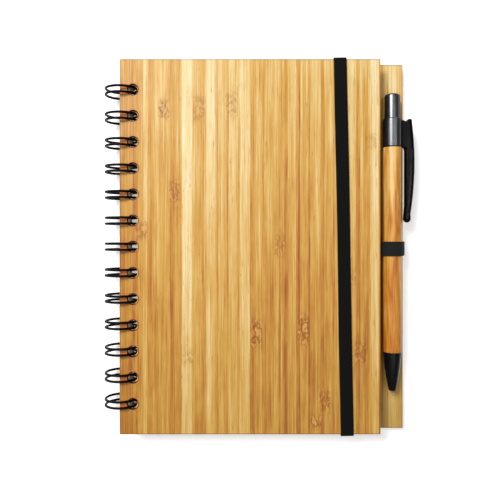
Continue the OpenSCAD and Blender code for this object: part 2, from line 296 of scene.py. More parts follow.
class Shader:
    """One material and short ways to add nodes to it. A value may be a number or a socket."""

    def __init__(self, name, **principled):
        self.material = bpy.data.materials.new(name)
        self.material.use_nodes = True
        self.tree = self.material.node_tree
        self.bsdf = self.tree.nodes["Principled BSDF"]
        for key, value in principled.items():
            self.put(self.bsdf, key.replace("_", " "), value)

    def put(self, node, key, value):
        socket = node.inputs[key]
        if isinstance(value, bpy.types.NodeSocket):
            self.tree.links.new(value, socket)
        else:
            socket.default_value = value

    def add(self, kind, values=None, **props):
        node = self.tree.nodes.new(kind)
        for key, value in props.items():
            setattr(node, key, value)
        for key, value in (values or {}).items():
            self.put(node, key, value)
        return node

    def math(self, operation, a, b=0.0, c=0.0, clamp=False):
        node = self.add("ShaderNodeMath", {0: a, 1: b, 2: c}, operation=operation, use_clamp=clamp)
        return node.outputs[0]

    def where(self):
        """The point in the row frame, in millimetres."""
        coords = self.add("ShaderNodeTexCoord").outputs["Object"]
        return self.add(
            "ShaderNodeVectorMath", {0: coords, "Scale": 1000.0}, operation="SCALE"
        ).outputs[0]

    def facing(self):
        return self.add("ShaderNodeTexCoord").outputs["Normal"]

    def split(self, vector):
        return self.add("ShaderNodeSeparateXYZ", {0: vector}).outputs

    def join(self, x, y, z):
        return self.add("ShaderNodeCombineXYZ", {0: x, 1: y, 2: z}).outputs[0]

    def times(self, vector, x, y, z):
        return self.add(
            "ShaderNodeVectorMath", {0: vector, 1: (x, y, z)}, operation="MULTIPLY"
        ).outputs[0]

    def plus(self, vector, x, y, z):
        return self.add(
            "ShaderNodeVectorMath", {0: vector, 1: (x, y, z)}, operation="ADD"
        ).outputs[0]

    def noise(self, vector, scale=1.0, detail=3.0, rough=0.55, warp=0.0):
        return self.add(
            "ShaderNodeTexNoise",
            {"Vector": vector, "Scale": scale, "Detail": detail, "Roughness": rough, "Distortion": warp},
        ).outputs[0]

    def window(self, value, low, high, to_low=0.0, to_high=1.0, smooth=False):
        """value mapped from low..high to to_low..to_high, and held at the ends."""
        return self.add(
            "ShaderNodeMapRange",
            {0: value, 1: low, 2: high, 3: to_low, 4: to_high},
            clamp=True,
            interpolation_type="SMOOTHSTEP" if smooth else "LINEAR",
        ).outputs[0]

    def mix(self, share, a, b, blend_type="MIX"):
        node = self.add("ShaderNodeMix", data_type="RGBA", blend_type=blend_type)
        self.put(node, 0, share)
        self.put(node, 6, a)
        self.put(node, 7, b)
        return node.outputs[2]

    def ramp(self, value, stops, interpolation="LINEAR"):
        node = self.add("ShaderNodeValToRGB", {0: value})
        ramp = node.color_ramp
        ramp.interpolation = interpolation
        while len(ramp.elements) < len(stops):
            ramp.elements.new(0.5)
        for element, (place, colour) in zip(ramp.elements, stops):
            element.position = place
            element.color = colour
        return node.outputs[0]

    def from_holes(self, x, y, centre_x):
        """Millimetres from the nearest hole of a row along y, and the part of it along the row.

        Past the row's ends both are large.
        """
        pitch = RING_PITCH / MM
        turn = self.math("FRACT", self.math("ADD", self.math("DIVIDE", y, pitch), 0.5))
        dy = self.math("MULTIPLY", self.math("SUBTRACT", turn, 0.5), pitch)
        dx = self.math("SUBTRACT", x, centre_x)
        reach = self.math(
            "SQRT", self.math("ADD", self.math("MULTIPLY", dx, dx), self.math("MULTIPLY", dy, dy))
        )
        beyond = self.math("GREATER_THAN", self.math("ABSOLUTE", y), RING_COUNT / 2 * pitch)
        far = self.math("MULTIPLY", beyond, 100.0)
        return self.math("ADD", reach, far), self.math("ADD", self.math("ABSOLUTE", dy), far)

    def bump(self, height, distance, strength=1.0):
        node = self.add(
            "ShaderNodeBump", {"Height": height, "Distance": distance, "Strength": strength}
        )
        self.put(self.bsdf, "Normal", node.outputs[0])


# ---------------------------------------------------------------- bamboo boards

# Tone of each glued strip and of the darker streaks beside the glue lines, from its left edge in
# millimetres from the bound edge: 0 is the darkest and 1 the palest. Those of the front board are
# the photo's average brightness down its columns, read off a printout and rounded by hand. Those of
# the back board are invented, apart from its right edge.
FRONT_STRIPS = [
    (0, 0.32), (6.2, 0.27), (8.7, 0.46), (11.0, 0.66), (13.0, 0.50), (13.8, 0.38), (15.6, 0.53),
    (24.2, 0.37), (26.2, 0.52), (28.2, 0.44), (29.2, 0.53), (30.0, 0.90), (35.0, 0.62), (36.2, 0.55),
    (39.8, 0.41), (40.7, 0.56), (41.7, 0.78), (45.6, 0.62), (46.6, 0.47), (47.5, 0.66), (50.4, 0.56),
    (51.5, 0.43), (52.4, 0.70), (54.2, 0.65), (57.1, 0.54), (58.1, 0.76),
]
FRONT_STRIPS_RIGHT = [
    (0, 0.76), (63.1, 0.37), (64.8, 0.48), (65.9, 0.54), (69.0, 0.44), (70.0, 0.50), (74.6, 0.55),
    (76.6, 0.38), (77.7, 0.50), (79.5, 0.24), (81.4, 0.50), (83.6, 0.60), (84.5, 0.72), (85.4, 0.36),
    (86.4, 0.24), (87.3, 0.48), (91.1, 0.25), (92.2, 0.45), (93.6, 0.57), (96.9, 0.34), (99.0, 0.54),
    (102.8, 0.36), (103.8, 0.56), (114.5, 0.28), (116.3, 0.52), (118.0, 0.36), (120.2, 0.50),
    (121.2, 0.70), (122.2, 0.80), (125.4, 0.42),
]
BACK_STRIPS = [
    (0, 0.50), (6.5, 0.30), (7.6, 0.40), (15, 0.62), (21.6, 0.36), (22.6, 0.48), (29, 0.80), (35.4, 0.42),
    (36.4, 0.55), (43, 0.40), (51, 0.66), (57.2, 0.34), (58.3, 0.52), (66, 0.74),
]
BACK_STRIPS_RIGHT = [
    (0, 0.74), (72.6, 0.34), (73.6, 0.45), (80, 0.60), (88, 0.36), (95, 0.70), (102.2, 0.38),
    (103.4, 0.52), (110, 0.64), (118, 0.48), (126.4, 0.40), (129.5, 0.55), (132.2, 0.84), (136.0, 0.62),
]
# Knuckles of the cane on the front board: across from the bound edge, up from the middle,
# half width and half height in millimetres, then how dark it is.
FRONT_KNUCKLES = [
    (21.5, 66.6, 3.0, 6.5, 0.95), (38.5, 66.9, 3.1, 9.0, 0.55), (54.2, 69.2, 3.2, 9.0, 0.50),
    (26.6, 26.4, 2.9, 9.0, 0.70), (10.4, 7.7, 3.2, 7.0, 0.70), (77.7, 0.8, 2.8, 9.0, 0.60),
    (122.2, 50.9, 2.8, 6.0, 0.35), (112.0, -15.3, 2.8, 7.0, 0.40), (66.3, -42.2, 3.1, 10.0, 1.0),
    (89.1, -40.3, 3.1, 11.0, 1.0), (33.1, -53.9, 2.8, 6.0, 0.40), (116.8, -51.4, 3.0, 9.0, 0.75),
    (95.1, -84.9, 2.9, 5.0, 0.85), (99.6, -74.8, 2.9, 8.0, 0.80),
]
BACK_KNUCKLES = [
    (31.0, -40.0, 3.0, 9.0, 0.9), (54.0, 22.0, 3.0, 7.0, 0.6), (84.0, -66.0, 3.0, 9.0, 0.9),
    (99.0, 58.0, 3.0, 8.0, 0.7), (12.0, 48.0, 3.0, 7.0, 0.7), (69.0, 74.0, 3.0, 7.0, 0.6),
    (134.0, -70.0, 2.6, 8.0, 0.5), (112.0, -12.0, 3.0, 9.0, 0.8),
]


def bamboo_board(name, left, right, split, knuckles, width, seed, painted_light_slope, head, foot):
    s = Shader(name, Roughness=0.42, IOR=1.48, Specular_IOR_Level=0.35, Coat_Weight=0.04, Coat_Roughness=0.35)
    point = s.plus(s.where(), -front_lo.x / MM, 0, 0)
    x, y, z = s.split(point)
    # each strip's glue line is straight but for a hair
    wobble = s.noise(s.times(point, 0.05, 0.02, 0.05), detail=1.0)
    ripple = s.noise(s.times(point, 0.9, 0.09, 0.9), detail=2.0)
    x_now = s.math("ADD", x, s.math("MULTIPLY", s.math("SUBTRACT", wobble, 0.5), 0.5))
    x_now = s.math("ADD", x_now, s.math("MULTIPLY", s.math("SUBTRACT", ripple, 0.5), 0.55))
    place = s.math("DIVIDE", x_now, width)
    first = s.ramp(place, [(edge / width, (t, t, t, 1)) for edge, t in left], "CONSTANT")
    second = s.ramp(place, [(edge / width, (t, t, t, 1)) for edge, t in right], "CONSTANT")
    tone = s.mix(s.math("GREATER_THAN", x_now, split), first, second)
    # an offset for each strip keeps the grain from running across glue lines
    lane = s.math("MULTIPLY", tone, 37.0 + seed)
    grain_at = s.join(x, y, s.math("ADD", z, lane))
    slow = s.noise(s.times(grain_at, 0.20, 0.016, 1.0), detail=3.0)
    grain = s.noise(s.times(grain_at, 0.95, 0.022, 1.0), detail=4.0, rough=0.6, warp=0.25)
    fibre = s.noise(s.times(grain_at, 2.6, 0.030, 1.0), detail=3.0, rough=0.65)
    fine = s.noise(s.times(grain_at, 8.0, 0.12, 1.0), detail=2.0, rough=0.7)
    patch = s.noise(s.times(grain_at, 0.12, 0.06, 1.0), detail=2.0)
    t = s.math("ADD", s.math("MULTIPLY", tone, 0.72), 0.12)
    t = s.math("ADD", t, s.math("MULTIPLY", s.math("SUBTRACT", slow, 0.5), 0.34))
    t = s.math("ADD", t, s.math("MULTIPLY", s.math("SUBTRACT", grain, 0.5), 0.66))
    t = s.math("ADD", t, s.math("MULTIPLY", s.math("SUBTRACT", fibre, 0.5), 0.56))
    t = s.math("ADD", t, s.math("MULTIPLY", s.math("SUBTRACT", fine, 0.5), 0.24))
    t = s.math("ADD", t, s.math("MULTIPLY", s.math("SUBTRACT", patch, 0.5), 0.20))
    # painted light: the boards are painted paler towards the head of the page, where the light falls more
    # strongly
    t = s.math("ADD", t, s.math("MULTIPLY", y, painted_light_slope))
    painted_head_light = s.math("MULTIPLY", s.window(y, 5, 90, 0.0, head), s.window(x, 50, 115, 0.15, 1.0))
    t = s.math("ADD", t, painted_head_light)
    colour = s.ramp(
        t,
        [
            (0.00, srgb(120, 60, 12)),
            (0.20, srgb(160, 90, 22)),
            (0.40, srgb(192, 134, 46)),
            (0.58, srgb(209, 163, 78)),
            (0.76, srgb(226, 197, 134)),
            (1.00, srgb(240, 224, 182)),
        ],
    )
    # reddish dashes where the darker fibre bundles surface
    dash = s.noise(s.times(grain_at, 1.5, 0.11, 1.0), detail=2.0, rough=0.5, warp=1.1)
    dashes = s.window(dash, 0.60, 0.72, 0.0, 1.0, smooth=True)
    colour = s.mix(s.math("MULTIPLY", dashes, 0.42), colour, srgb(168, 84, 22))
    gold = s.window(patch, 0.50, 0.72, 0.0, 0.30, smooth=True)
    colour = s.mix(gold, colour, srgb(206, 160, 66))
    colour = s.mix(s.window(y, -10, -90, 0.0, foot), colour, srgb(164, 142, 74))

    # knuckles: a browner length of one strip, netted with fine dark strokes and paler between them
    marks = None
    for cx, cy, half_w, half_h, strength in knuckles:
        u = s.math("ABSOLUTE", s.math("SUBTRACT", x_now, cx))
        v = s.math("ABSOLUTE", s.math("SUBTRACT", y, cy))
        near = s.math(
            "MULTIPLY",
            s.window(u, half_w * 0.84, half_w, strength, 0.0),
            s.window(v, half_h * 0.25, half_h, 1.0, 0.0, smooth=True),
        )
        marks = near if marks is None else s.math("MAXIMUM", marks, near)
    net = s.noise(s.times(point, 0.46, 0.27, 0.3), detail=1.5, rough=0.45, warp=0.5)
    off = s.math("ABSOLUTE", s.math("SUBTRACT", net, 0.5))
    dark_strokes = s.math("MULTIPLY", marks, s.window(off, 0.025, 0.095, 1.0, 0.0, smooth=True))
    dark_strokes = s.math("MULTIPLY", dark_strokes, s.window(fibre, 0.40, 0.64, 1.0, 0.55))
    pale_cells = s.math("MULTIPLY", marks, s.window(net, 0.58, 0.66, 0.0, 1.0, smooth=True))
    colour = s.mix(s.math("MULTIPLY", marks, 0.34), colour, srgb(190, 122, 46))
    colour = s.mix(s.math("MULTIPLY", pale_cells, 0.30), colour, srgb(230, 190, 124))
    colour = s.mix(s.math("MULTIPLY", dark_strokes, 0.90), colour, srgb(134, 70, 12))

    # the cut edges, a narrow band along the outline and a halo round each hole are darker and browner
    nz = s.split(s.facing())[2]
    side = s.window(s.math("ABSOLUTE", nz), 0.25, 0.9, 1.0, 0.0)
    colour = s.mix(s.math("MULTIPLY", side, 0.78), colour, srgb(66, 32, 10))
    inset = s.math("MINIMUM", x, s.math("SUBTRACT", width, x))
    inset = s.math("MINIMUM", inset, s.math("SUBTRACT", front_hi.y / MM, s.math("ABSOLUTE", y)))
    rim = s.window(inset, 0.15, 0.75, 0.62, 0.0, smooth=True)
    colour = s.mix(rim, colour, srgb(124, 62, 16))
    reach, along = s.from_holes(x, y, (COVER_HOLE[0] - front_lo.x) / MM)
    radius = COVER_HOLE[1] / MM
    hole_halo = s.window(reach, radius + 0.1, radius + 1.5, 0.60, 0.0, smooth=True)
    # the black ring round each hole is partly its scorched rim and partly painted shadow of the wires in the
    # hole
    scorch_and_shade_ring = s.window(reach, radius + 0.22, radius + 0.42, 1.0, 0.0, smooth=True)
    colour = s.mix(hole_halo, colour, srgb(196, 104, 30))
    # painted shade: the board is painted orange between the two wires of a loop, for the wires' shadow and
    # the warm light bounced between them
    between_wires = s.window(along, 1.0, 2.4, 0.75, 0.0, smooth=True)
    painted_wire_shade = s.math("MULTIPLY", between_wires, s.window(x, 4.0, 6.0, 1.0, 0.0))
    colour = s.mix(painted_wire_shade, colour, srgb(228, 120, 48))
    # painted shadow and scorch: the black ring round each hole
    colour = s.mix(scorch_and_shade_ring, colour, srgb(6, 4, 3))
    s.put(s.bsdf, "Base Color", colour)

    s.put(s.bsdf, "Roughness", s.window(fine, 0.2, 0.8, 0.50, 0.36))
    height = s.math("ADD", s.math("MULTIPLY", fibre, 0.6), s.math("MULTIPLY", fine, 0.4))
    s.bump(s.math("SUBTRACT", height, s.math("MULTIPLY", dark_strokes, 0.8)), 0.00003, 0.6)
    return s.material


def bamboo_barrel():
    s = Shader("bamboo_barrel", Roughness=0.36, IOR=1.48, Coat_Weight=0.12, Coat_Roughness=0.2)
    point = s.plus(s.where(), -pen_x / MM, 0, -pen_z / MM)
    bend = s.noise(s.times(point, 0.30, 0.05, 0.30), detail=2.0)
    grain_at = s.plus(point, 31.0, 0, 7.0)
    slow = s.noise(s.times(grain_at, 0.42, 0.035, 0.42), detail=3.0, warp=0.5)
    fibre = s.noise(s.times(grain_at, 2.2, 0.07, 2.2), detail=4.0, rough=0.65)
    fine = s.noise(s.times(grain_at, 6.0, 0.2, 6.0), detail=2.0, rough=0.7)
    t = s.math("SUBTRACT", s.math("MULTIPLY", slow, 0.62), 0.005)
    t = s.math("ADD", t, s.math("MULTIPLY", s.split(point)[1], 0.0013))
    t = s.math("ADD", t, s.math("MULTIPLY", fibre, 0.30))
    t = s.math("ADD", t, s.math("MULTIPLY", fine, 0.12))
    t = s.math("ADD", t, s.math("MULTIPLY", s.math("SUBTRACT", bend, 0.5), 0.2))
    colour = s.ramp(
        t,
        [
            (0.28, srgb(140, 64, 8)),
            (0.42, srgb(184, 104, 22)),
            (0.54, srgb(206, 144, 50)),
            (0.70, srgb(232, 194, 124)),
        ],
    )
    pores = s.window(s.noise(s.times(grain_at, 3.2, 0.16, 3.2), detail=1.0), 0.62, 0.72)
    colour = s.mix(s.math("MULTIPLY", pores, 0.35), colour, srgb(140, 66, 22))
    ny = s.split(s.facing())[1]
    end = s.window(s.math("ABSOLUTE", ny), 0.3, 0.9)
    colour = s.mix(s.math("MULTIPLY", end, 0.5), colour, srgb(110, 60, 24))
    s.put(s.bsdf, "Base Color", colour)
    s.put(s.bsdf, "Roughness", s.window(fine, 0.2, 0.8, 0.42, 0.3))
    s.bump(s.math("ADD", fibre, s.math("MULTIPLY", fine, 0.5)), 0.00003, 0.5)
    return s.material


# ---------------------------------------------------------------- other materials

def paper():
    s = Shader("paper", Roughness=0.9)
    point = s.where()
    x, y, z = s.split(point)
    pulp = s.noise(point, scale=1.6, detail=4.0)
    mottle = s.noise(point, scale=0.12, detail=2.0)
    colour = s.mix(pulp, srgb(238, 228, 202), srgb(247, 240, 219))
    colour = s.mix(s.window(mottle, 0.4, 0.7, 0.0, 0.25), colour, srgb(230, 214, 180))
    # pale grey feint lines across each leaf, below a head margin
    spacing = 7.0
    line = s.math("ABSOLUTE", s.math("SUBTRACT", s.math("FRACT", s.math("DIVIDE", y, spacing)), 0.5))
    line = s.window(line, 0.015, 0.03, 1.0, 0.0)
    inside = s.math("LESS_THAN", y, 72.0)
    nz = s.split(s.facing())[2]
    flat = s.math("GREATER_THAN", s.math("ABSOLUTE", nz), 0.9)
    line = s.math("MULTIPLY", s.math("MULTIPLY", line, inside), flat)
    colour = s.mix(s.math("MULTIPLY", line, 0.55), colour, srgb(150, 160, 172))
    # painted shade: the punched holes' walls and rims are painted browner than the sheets, for the warm shade
    # inside the holes
    reach, _ = s.from_holes(x, y, PAGE_HOLE[0] / MM)
    painted_hole_shade = s.window(reach, PAGE_HOLE[1] / MM + 0.3, PAGE_HOLE[1] / MM + 0.9, 0.85, 0.0, smooth=True)
    colour = s.mix(painted_hole_shade, colour, srgb(214, 158, 70))
    s.put(s.bsdf, "Base Color", colour)
    s.bump(pulp, 0.00001, 0.3)
    return s.material


def elastic(name, along, dark, light):
    """Woven elastic: fine ribs along the strap and closer picks across it. along is the strap's direction."""
    s = Shader(name, Roughness=0.85, Specular_IOR_Level=0.15, Sheen_Weight=0.04, Sheen_Roughness=0.5)
    x, y, z = s.split(s.where())
    run, across = (y, x) if along == "y" else (s.math("ADD", x, z), y)
    rib = s.math("SINE", s.math("MULTIPLY", across, 2 * math.pi / 0.45))
    pick = s.math("SINE", s.math("MULTIPLY", run, 2 * math.pi / 0.38))
    weave = s.math("MULTIPLY", rib, pick)
    fuzz = s.noise(s.where(), scale=5.0, detail=3.0)
    t = s.math("ADD", s.math("MULTIPLY", weave, 0.16), s.math("ADD", s.math("MULTIPLY", fuzz, 0.6), 0.2))
    colour = s.mix(s.math("ADD", t, 0, clamp=True), dark, light)
    s.put(s.bsdf, "Base Color", colour)
    s.bump(s.math("ADD", weave, s.math("MULTIPLY", fuzz, 0.8)), 0.00004, 0.6)
    return s.material


def metal(name, dark, light, rough, turned=True):
    """Satin metal: fine marks round the pen's axis when turned, and faint smudges that vary its gloss."""
    s = Shader(name, Metallic=1.0)
    point = s.where()
    if turned:
        marks = s.noise(s.times(point, 0.3, 16.0, 0.3), detail=3.0, rough=0.7)
    else:
        marks = s.noise(point, scale=3.0, detail=3.0)
    smudge = s.noise(point, scale=0.35, detail=3.0)
    s.put(s.bsdf, "Base Color", s.mix(smudge, dark, light))
    gloss = s.math("ADD", s.math("MULTIPLY", marks, 0.08), s.math("MULTIPLY", smudge, 0.06))
    s.put(s.bsdf, "Roughness", s.math("ADD", gloss, rough - 0.07))
    s.bump(marks, 0.000002, 0.3)
    return s.material


def plastic(name, dark, light, rough, grain=2.5, shine=0.5):
    """Moulded plastic: fine orange peel, faint scuffs and a little dust in the gloss."""
    s = Shader(name, IOR=1.5, Specular_IOR_Level=shine)
    point = s.where()
    peel = s.noise(point, scale=grain, detail=2.0)
    scuff = s.noise(s.times(point, 0.8, 0.25, 0.8), detail=4.0, rough=0.7)
    s.put(s.bsdf, "Base Color", s.mix(scuff, dark, light))
    s.put(s.bsdf, "Roughness", s.window(scuff, 0.3, 0.75, rough, rough + 0.14))
    s.bump(peel, 0.00001, 0.35)
    return s.material


board_front = bamboo_board(
    "bamboo_front", FRONT_STRIPS, FRONT_STRIPS_RIGHT, 60.0, FRONT_KNUCKLES, 126.5, 0.0, 0.0010, 0.13, 0.15
)
board_back = bamboo_board(
    "bamboo_back", BACK_STRIPS, BACK_STRIPS_RIGHT, 70.0, BACK_KNUCKLES, 139.7, 11.0, 0.0010, 0.03, 0.55
)
barrel_wood = bamboo_barrel()
leaf_paper = paper()
band_weave = elastic("elastic_band_weave", "y", srgb(1, 1, 1), srgb(13, 13, 12))
loop_weave = elastic("elastic_loop_weave", "x", srgb(8, 8, 8), srgb(38, 39, 39))
black_wire = plastic("wire_coating", srgb(2, 2, 2), srgb(9, 9, 9), 0.42, grain=4.0, shine=0.10)
clip_black = plastic("clip_plastic", srgb(2, 2, 2), srgb(5, 5, 5), 0.16, shine=0.14)
black_shell = plastic("black_shell", srgb(5, 5, 5), srgb(14, 14, 14), 0.24, shine=0.30)
white_inner = plastic("inner_plastic", srgb(214, 214, 210), srgb(232, 232, 228), 0.45)
grey_inner = plastic("insert_plastic", srgb(96, 96, 98), srgb(120, 120, 122), 0.5)
satin_chrome = metal("satin_chrome", srgb(96, 97, 99), srgb(114, 115, 117), 0.30)
satin_chrome.node_tree.nodes["Principled BSDF"].inputs["Specular Tint"].default_value = (0.3, 0.3, 0.3, 1)
nickel = metal("nickel", srgb(176, 174, 168), srgb(206, 204, 198), 0.25, turned=False)
brass = metal("brass", srgb(176, 134, 62), srgb(208, 168, 92), 0.26)
steel = metal("steel", srgb(150, 150, 152), srgb(186, 186, 188), 0.25)

CAD_LOOKS = {
    "pen_ferrule": satin_chrome,
    "joint_ring": black_shell,
    "front_insert": grey_inner,
    "rear_insert": grey_inner,
    "cam_sleeve": white_inner,
    "plunger": white_inner,
    "cam_rotor": white_inner,
    "refill_tube": white_inner,
    "refill_tip": brass,
    "writing_ball": steel,
}
for node, material in CAD_LOOKS.items():
    mesh = frame["nodes"][node].data
    mesh.materials.clear()
    mesh.materials.append(material)


# ---------------------------------------------------------------- boards and leaves

def rectangle(x0, x1, y0, y1, corner=0.0, steps=6):
    """An outline with rounded corners, run anticlockwise."""
    if corner == 0:
        return [(x0, y0), (x1, y0), (x1, y1), (x0, y1)]
    out = []
    for cx, cy, start in (
        (x0 + corner, y0 + corner, 180), (x1 - corner, y0 + corner, 270),
        (x1 - corner, y1 - corner, 0), (x0 + corner, y1 - corner, 90),
    ):
        for k in range(steps + 1):
            a = math.radians(start + 90 * k / steps)
            out.append((cx + corner * math.cos(a), cy + corner * math.sin(a)))
    return out


def board(name, node, material, body, slots=()):
    lo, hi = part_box(node)
    loops = [rectangle(lo.x, hi.x, lo.y, hi.y, 0.4 * MM)]
    loops += [circle_points(COVER_HOLE[0], y, COVER_HOLE[1], 48) for y in RING_YS]
    loops += list(slots)
    mesh = plate_mesh(name, loops, hi.z - lo.z, 0.18 * MM)
    mesh.transform(Matrix.Translation((0, 0, (lo.z + hi.z) / 2)))
    shade(mesh, 35, plate=True)
    obj = link(name, mesh, material)
    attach(obj, body)
    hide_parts(node)
    return obj


loop_lo, loop_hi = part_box("pen_loop")
STRAP_T = 0.9 * MM
slot_outline = rectangle(
    loop_lo.x - 0.15 * MM, loop_lo.x + STRAP_T + 0.15 * MM,
    loop_lo.y - 0.15 * MM, loop_hi.y + 0.15 * MM, 0.3 * MM,
)
board("front_board", "front_cover", board_front, "cover")
board("back_board", "back_cover", board_back, "notebook", [slot_outline])


def leaves(name, node, body, count):
    """A stack of sheets, each settled a hair differently, which steps along the curve of the wire."""
    lo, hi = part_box(node)
    rng = random.Random(name)
    pitch = (hi.z - lo.z) / count
    sheet = plate_mesh(
        name + "_sheet",
        [rectangle(lo.x, hi.x, lo.y, hi.y, 1.0 * MM, 4)]
        + [circle_points(PAGE_HOLE[0], y, PAGE_HOLE[1], 24) for y in RING_YS],
        pitch * 0.86,
    )
    corners = [v.co.copy() for v in sheet.vertices]
    polygons = [tuple(p.vertices) for p in sheet.polygons]
    points, faces = [], []
    for k in range(count):
        first = len(points)
        dx, dy = rng.uniform(-0.14, 0.0) * MM, rng.uniform(-0.1, 0.1) * MM
        turn = rng.uniform(-0.0005, 0.0005)
        z = lo.z + pitch * (k + 0.5)
        dx += math.sqrt(RING_R**2 - (z - ring_z) ** 2) - RING_R
        for c in corners:
            points.append((c.x + dx - c.y * turn, c.y + dy + (c.x - lo.x) * turn, c.z + z))
        faces += [tuple(first + v for v in p) for p in polygons]
    bpy.data.meshes.remove(sheet)
    obj = make_mesh(name, points, faces, leaf_paper, 30)
    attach(obj, body)
    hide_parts(node)
    return obj


leaves("front_leaves", "front_pages", "leaves", 33)
leaves("rear_leaves", "rear_pages", "notebook", 33)
leaves("turning_leaf", "loose_leaf", "leaf", 1)


# ---------------------------------------------------------------- wire

def ring_point(angle, y):
    """A point on a ring's middle line, at angle 0 towards the boards and 90 up."""
    return Vector((ring_x + RING_R * math.cos(angle), y, ring_z + RING_R * math.sin(angle)))


def wire_path():
    """One wire from end to end: up one side of each ring, round its tip, back down, and along to the next."""
    path = []
    arc_steps, tip_steps, foot_steps = 60, 14, 8
    back = Vector((math.sin(ROOT_ANGLE), 0, -math.cos(ROOT_ANGLE)))
    forward = Vector((-math.sin(TIP_ANGLE), 0, math.cos(TIP_ANGLE)))
    for i, y in enumerate(RING_YS):
        low, high = y - TWIN_HALF, y + TWIN_HALF
        if i > 0:
            corner = ring_point(ROOT_ANGLE, low) + back * FOOT_R
            for k in range(foot_steps):
                a = math.pi / 2 * k / foot_steps
                path.append(
                    corner - Vector((0, FOOT_R * (1 - math.sin(a)), 0)) - back * FOOT_R * (1 - math.cos(a))
                )
        for k in range(arc_steps):
            path.append(ring_point(ROOT_ANGLE + (TIP_ANGLE - ROOT_ANGLE) * k / arc_steps, low))
        middle = ring_point(TIP_ANGLE, y)
        for k in range(tip_steps):
            a = math.pi * k / tip_steps
            path.append(middle + Vector((0, -TWIN_HALF * math.cos(a), 0)) + forward * TWIN_HALF * math.sin(a))
        for k in range(arc_steps + 1):
            path.append(ring_point(TIP_ANGLE + (ROOT_ANGLE - TIP_ANGLE) * k / arc_steps, high))
        if i < RING_COUNT - 1:
            corner = ring_point(ROOT_ANGLE, high) + back * FOOT_R
            for k in range(1, foot_steps + 1):
                a = math.pi / 2 * k / foot_steps
                path.append(
                    corner + Vector((0, FOOT_R * (1 - math.cos(a)), 0)) - back * FOOT_R * (1 - math.sin(a))
                )
    return path


wire = tube_along("twin_loop_wire", wire_path(), WIRE_R, 14, black_wire)
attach(wire, "notebook")
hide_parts("wire_binding")

# ---------------------------------------------------------------- elastic band and pen loop

band_lo, band_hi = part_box("elastic_band")
BAND_W, BAND_T, BAND_LEAN, TAIL = 6.3 * MM, 0.75 * MM, math.radians(1.04), 22 * MM
band_x = (band_lo.x + band_hi.x) / 2
half_y = (band_hi.y - band_lo.y) / 2 - math.sin(BAND_LEAN) * BAND_W / 2
mid_y = half_y - BAND_T / 2
mid_top, mid_low = band_hi.z - BAND_T / 2, band_lo.z + BAND_T / 2
band_corners = [
    Vector((0, -(half_y - BAND_T - TAIL), mid_low)), Vector((0, -mid_y, mid_low)),
    Vector((0, -mid_y, mid_top)), Vector((0, mid_y, mid_top)),
    Vector((0, mid_y, mid_low)), Vector((0, half_y - BAND_T - TAIL, mid_low)),
]
band_path = dense(rounded(band_corners, 0.9 * MM), 1.5 * MM)
band = sweep(
    "closure_band", band_path, strap_section(BAND_W, BAND_T, 12), Vector((1, 0, 0)), band_weave
)
for v in band.data.vertices:
    # the band pulls in a little and wanders slightly along its length
    v.co.x *= 1 - 0.012 * math.cos(v.co.y * 60)
    v.co.x += 0.10 * MM * math.sin(v.co.y * 47 + 0.6)
band.data.transform(Matrix.Translation((band_x, 0, 0)) @ Matrix.Rotation(BAND_LEAN, 4, "Z"))
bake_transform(band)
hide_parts("elastic_band")

strap_r = pen_r + 0.15 * MM + STRAP_T / 2
strap_right = back_hi.x + 0.1 * MM + STRAP_T / 2
strap_low = loop_lo.z + STRAP_T / 2
strap_corners = [
    Vector((pen_x + strap_r * math.cos(a), 0, pen_z + strap_r * math.sin(a)))
    for a in [math.radians(180 - 7.5 * k) for k in range(23)]
]
strap_corners += [
    Vector((strap_right, 0, back_hi.z)),
    Vector((strap_right, 0, strap_low)),
    Vector((pen_x - strap_r, 0, strap_low)),
]
strap_path = dense(rounded(strap_corners, 0.7 * MM, closed=True), 0.8 * MM, closed=True)
strap = sweep(
    "pen_strap", strap_path, strap_section(loop_hi.y - loop_lo.y, STRAP_T, 12),
    Vector((0, 1, 0)), loop_weave, closed=True,
)
strap.data.transform(Matrix.Translation((0, (loop_lo.y + loop_hi.y) / 2, 0)))
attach(strap, "notebook")
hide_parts("pen_loop")


def rivet_piece(name, cx, cy, lo, hi, head_r):
    """A hollow rivet with a domed head below the strap and a rolled flange inside the back board."""
    bore, shank, head_t, flange_t = 0.7 * MM, 1.2 * MM, 0.5 * MM, 0.18 * MM
    flange_r = head_r - 0.5 * MM
    profile = [(bore, lo.z + 0.22 * MM), (bore + 0.15 * MM, lo.z + 0.04 * MM), (bore + 0.4 * MM, lo.z)]
    profile += [
        (bore + 0.4 * MM + (head_r - bore - 0.4 * MM) * math.sin(a), lo.z + head_t * (1 - math.cos(a)))
        for a in [math.radians(15 * k) for k in range(1, 7)]
    ]
    profile += [(shank, lo.z + head_t), (shank, hi.z - flange_t)]
    profile += [
        (flange_r - 0.09 * MM + 0.09 * MM * math.sin(a), hi.z - 0.09 * MM - 0.09 * MM * math.cos(a))
        for a in [math.radians(30 * k) for k in range(7)]
    ]
    profile += [(bore + 0.1 * MM, hi.z), (bore, hi.z - 0.1 * MM)]
    points, segments = [], 48
    for r, z in profile:
        points += [
            (cx + r * math.cos(2 * math.pi * k / segments), cy + r * math.sin(2 * math.pi * k / segments), z)
            for k in range(segments)
        ]
    return make_mesh(name, points, stitch(len(profile), segments, closed=True), nickel, 50)


